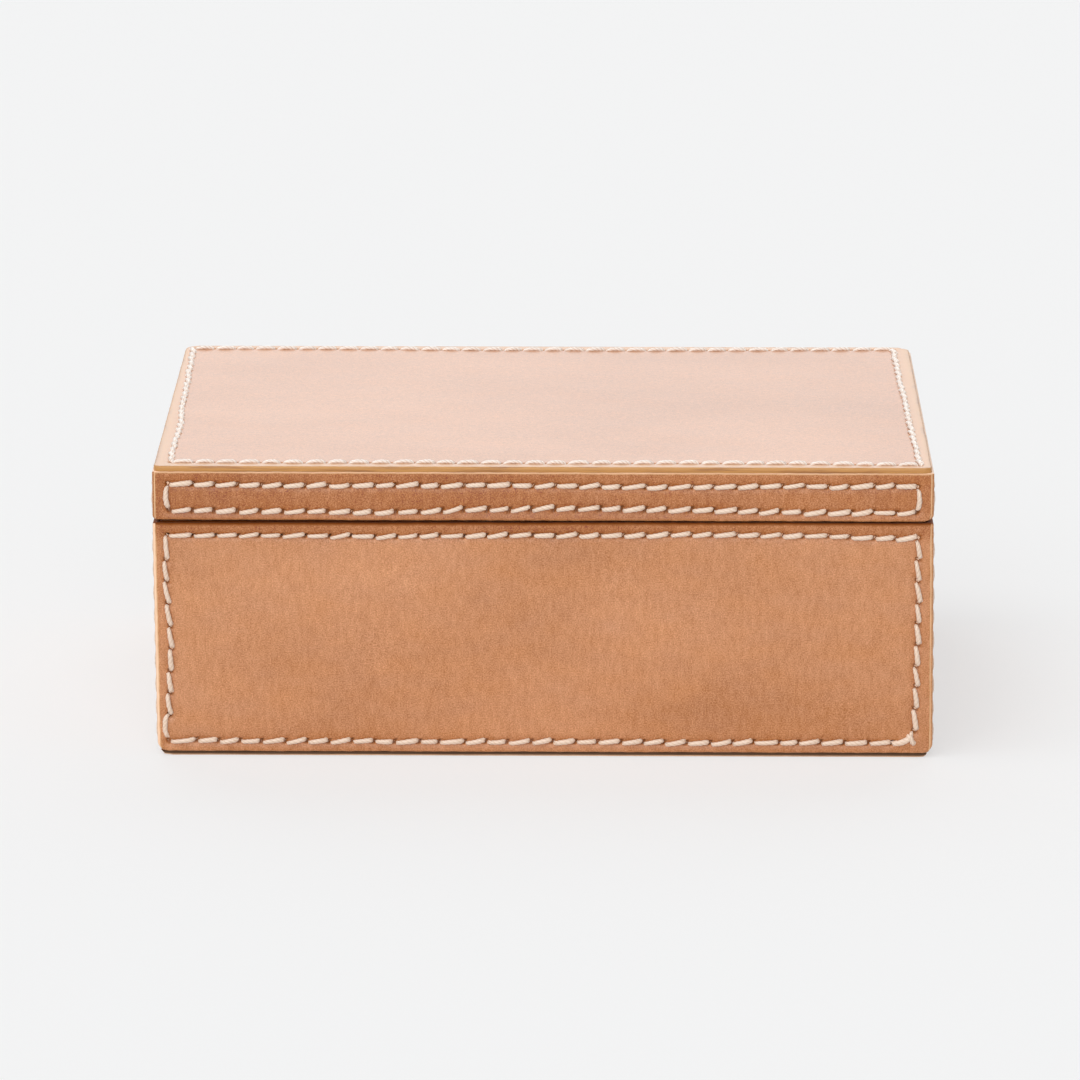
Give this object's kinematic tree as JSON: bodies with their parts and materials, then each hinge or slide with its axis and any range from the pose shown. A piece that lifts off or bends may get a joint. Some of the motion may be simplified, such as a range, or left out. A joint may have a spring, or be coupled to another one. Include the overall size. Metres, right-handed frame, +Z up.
{
  "type": "leather keepsake box",
  "caption": "Rectangular leather-covered box with a shallow lid on rear hinges; every face is a leather panel edged with thick cream saddle stitching.",
  "frame": {"origin": "middle of the underside, on the plane that the box stands on", "axes": "+X to the box's right along its width, -Y towards its front, +Z up"},
  "size_m": [0.2046, 0.1567, 0.0789],
  "materials": {
    "leather": "natural vegetable-tanned, satin, with burnished golden-brown edges",
    "thread": "cream waxed twisted thread",
    "board": "plain board with dark-stained edges",
    "suede": "matt suede lining",
    "brass": "brushed brass"
  },
  "bodies": {
    "base": {"base_back_board": "board", "base_back_leather": "leather", "base_back_lining": "suede", "base_back_thread": "thread", "base_bottom_board": "board", "base_floor_lining": "suede", "base_front_board": "board", "base_front_leather": "leather", "base_front_lining": "suede", "base_front_thread": "thread", "base_left_board": "board", "base_left_leather": "leather", "base_left_lining": "suede", "base_left_thread": "thread", "base_right_board": "board", "base_right_leather": "leather", "base_right_lining": "suede", "base_right_thread": "thread", "base_rim_leather": "leather", "left_hinge_base_leaf": "brass", "left_hinge_base_screw_1": "brass", "left_hinge_base_screw_2": "brass", "left_hinge_pin": "brass", "right_hinge_base_leaf": "brass", "right_hinge_base_screw_1": "brass", "right_hinge_base_screw_2": "brass", "right_hinge_pin": "brass", "underside_leather": "leather", "underside_thread": "thread"},
    "lid": {"left_hinge_lid_leaf": "brass", "left_hinge_lid_screw_1": "brass", "left_hinge_lid_screw_2": "brass", "lid_back_leather": "leather", "lid_back_lining": "suede", "lid_back_rail": "board", "lid_back_thread": "thread", "lid_front_leather": "leather", "lid_front_lining": "suede", "lid_front_rail": "board", "lid_front_thread": "thread", "lid_left_leather": "leather", "lid_left_lining": "suede", "lid_left_rail": "board", "lid_left_thread": "thread", "lid_right_leather": "leather", "lid_right_lining": "suede", "lid_right_rail": "board", "lid_right_thread": "thread", "lid_rim_leather": "leather", "lid_top_board": "board", "lid_top_leather": "leather", "lid_top_lining": "suede", "lid_top_thread": "thread", "right_hinge_lid_leaf": "brass", "right_hinge_lid_screw_1": "brass", "right_hinge_lid_screw_2": "brass"}
  },
  "joints": [
    {"name": "lid_hinge", "type": "hinge", "parent": "base", "child": "lid", "pos_m": [0, 0.0781, 0.0633], "axis": [-1, 0, 0], "range_deg": [0, 105]}
  ]
}
